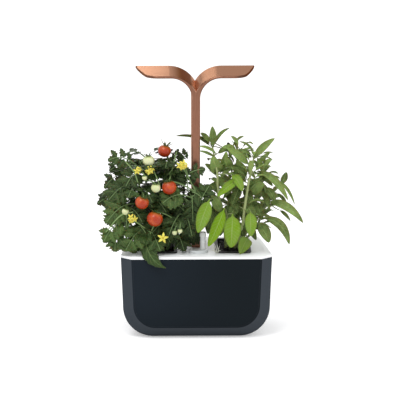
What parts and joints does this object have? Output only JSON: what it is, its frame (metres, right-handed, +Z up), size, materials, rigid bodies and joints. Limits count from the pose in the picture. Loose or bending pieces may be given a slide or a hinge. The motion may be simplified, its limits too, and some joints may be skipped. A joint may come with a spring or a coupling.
{
  "type": "countertop hydroponic garden",
  "caption": "Countertop hydroponic garden: U-shaped water tank under a planting tray with lift-out pods, tomato and sage plants, and a sliding mast lamp with leaf-shaped heads.",
  "frame": {"origin": "on the surface it stands on, under the middle of the tank", "axes": "+Z up, +X to the right as seen from the front, +Y towards the back, so the front panel faces -Y"},
  "size_m": [0.33, 0.184, 0.4161],
  "materials": {
    "tank": "gloss",
    "liner": "satin",
    "feet": "matte",
    "tray": "satin",
    "screw": "satin",
    "seal": "matte",
    "guide": "satin",
    "lead": "matte",
    "panel": "satin",
    "inlet": "matte",
    "button": "satin",
    "board": "satin",
    "electronics": "matte",
    "cap": "satin",
    "sight": "satin",
    "bracket": "satin",
    "float": "matte",
    "float_mark": "satin",
    "lamp": "satin",
    "led_board": "satin",
    "led": "satin",
    "diffuser": "satin",
    "pod": "satin",
    "soil": "matte",
    "wick": "matte",
    "tomato_stem": "matte",
    "tomato_leaf": "satin",
    "ripe": "gloss",
    "unripe": "gloss",
    "blossom": "matte",
    "sage_stem": "matte",
    "sage_leaf": "matte"
  },
  "bodies": {
    "tank": {"tank_shell": "tank", "reservoir_liner": "liner", "rubber_feet": "feet", "planting_tray": "tray", "mast_collar": "tray", "mast_sleeve": "liner", "sleeve_screws": "screw", "sleeve_seal": "seal", "mast_bushing": "guide", "supply_lead": "lead", "service_lead": "lead", "rear_panel": "panel", "rear_screws": "screw", "dc_inlet": "inlet", "control_board": "board", "board_parts": "electronics", "board_screws": "screw", "fill_neck": "tray"},
    "lamp": {"ribbon_left": "lamp", "ribbon_right": "lamp", "led_board_left": "led_board", "led_board_right": "led_board", "led_chips_left": "led", "led_chips_right": "led", "diffuser_left": "diffuser", "diffuser_right": "diffuser", "mast_foot": "guide", "foot_pins": "screw"},
    "pod_left": {"pod_cup_left": "pod", "soil_left": "soil", "wicks_left": "wick", "tomato_stems": "tomato_stem", "tomato_foliage": "tomato_leaf", "tomato_front_shoots": "tomato_leaf", "tomato_lip_shoot": "tomato_leaf", "tomato_red_fruit": "ripe", "tomato_green_fruit": "unripe", "tomato_flowers": "blossom"},
    "pod_right": {"pod_cup_right": "pod", "soil_right": "soil", "wicks_right": "wick", "sage_stems": "sage_stem", "sage_foliage": "sage_leaf", "sage_front_shoots": "sage_leaf"},
    "cap": {"fill_cap": "cap", "cap_seal": "seal", "gauge_tube": "sight", "gauge_knob": "cap", "gauge_guide": "bracket"},
    "float": {"float_body": "float", "float_stem": "float_mark"},
    "button": {"power_button": "button"}
  },
  "joints": [
    {"name": "lamp_height", "type": "slide", "parent": "tank", "child": "lamp", "axis": [0, 0, 1], "range_m": [-0.02, 0.06], "deforming": ["service_lead"]},
    {"name": "pod_left_lift", "type": "slide", "parent": "tank", "child": "pod_left", "axis": [0, 0, 1], "range_m": [0, 0.055]},
    {"name": "pod_right_lift", "type": "slide", "parent": "tank", "child": "pod_right", "axis": [0, 0, 1], "range_m": [0, 0.055]},
    {"name": "fill_cap_lift", "type": "slide", "parent": "tank", "child": "cap", "axis": [0, 0, 1], "range_m": [0, 0.015]},
    {"name": "float_rise", "type": "slide", "parent": "cap", "child": "float", "axis": [0, 0, 1], "range_m": [0, 0.014]},
    {"name": "power_press", "type": "slide", "parent": "tank", "child": "button", "axis": [0, -1, 0], "range_m": [0, 0.001], "stiffness_N_per_m": 600, "springref_m": -0.0005}
  ]
}
